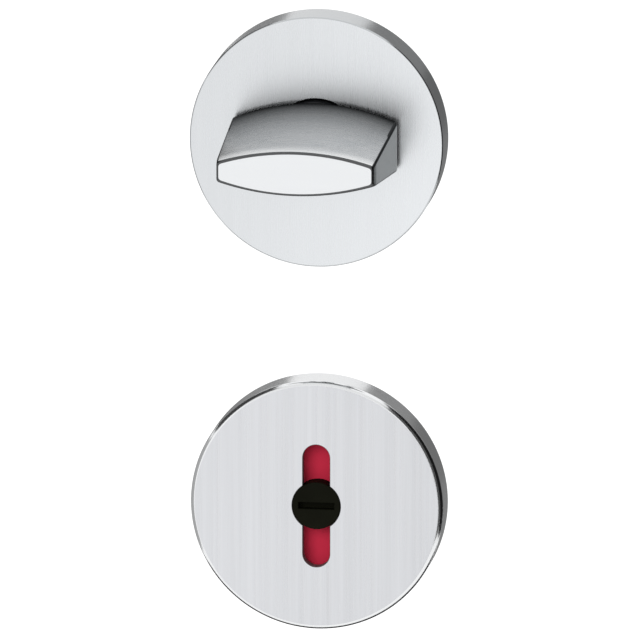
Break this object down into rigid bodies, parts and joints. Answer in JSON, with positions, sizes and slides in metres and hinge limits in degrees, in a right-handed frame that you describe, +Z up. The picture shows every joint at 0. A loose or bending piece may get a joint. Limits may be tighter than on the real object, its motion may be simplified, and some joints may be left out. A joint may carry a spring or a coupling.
{
  "type": "bathroom thumb turn lock",
  "caption": "Round-rose bathroom lock set: inside thumb turn on a square spindle, and outside rose with a locked or free indicator window and coin release.",
  "frame": {"origin": "where the thumb turn axis meets the door face, at the back of the inside rose", "axes": "+Y into the door along the thumb turn axis, +Z up from the indicator rose to the thumb turn rose, +X to the right seen from the front"},
  "size_m": [0.052, 0.0862, 0.128],
  "materials": {
    "satin_steel": "satin brushed stainless steel",
    "grip_steel": "fine brushed stainless steel",
    "plated_steel": "zinc plated",
    "spring_steel": "oiled spring steel",
    "moulded_plastic": "moulded, dark grey",
    "bush_plastic": "moulded, natural",
    "white_plastic": "moulded, white",
    "red_plastic": "moulded, red",
    "black_plastic": "moulded, black"
  },
  "bodies": {
    "roses": {"turn_rose_cover": "satin_steel", "turn_base_plate": "moulded_plastic", "turn_bush": "bush_plastic", "turn_spring_washer": "spring_steel", "turn_thrust_washer": "spring_steel", "fixing_screws": "plated_steel", "turn_cover_spring": "spring_steel", "indicator_rose_cover": "satin_steel", "indicator_base_plate": "moulded_plastic", "indicator_bush": "bush_plastic", "indicator_thrust_washer": "spring_steel", "threaded_sleeves": "plated_steel", "indicator_cover_spring": "spring_steel"},
    "turn": {"thumb_turn": "grip_steel", "turn_retaining_ring": "spring_steel", "spindle": "plated_steel", "spindle_pin": "plated_steel"},
    "release": {"release_hub": "black_plastic", "indicator_disc": "white_plastic", "indicator_red_fields": "red_plastic", "indicator_retaining_ring": "spring_steel"}
  },
  "joints": [
    {"name": "turn_hinge", "type": "hinge", "parent": "roses", "child": "turn", "pos_m": [0, 0, 0], "axis": [0, 1, 0], "range_deg": [0, 90]},
    {"name": "release_hinge", "type": "hinge", "parent": "roses", "child": "release", "pos_m": [0, 0, -0.076], "axis": [0, 1, 0], "range_deg": [-90, 0]}
  ],
  "couplings": [
    {"joint": "release_hinge", "follows": "turn_hinge", "ratio": -1}
  ]
}
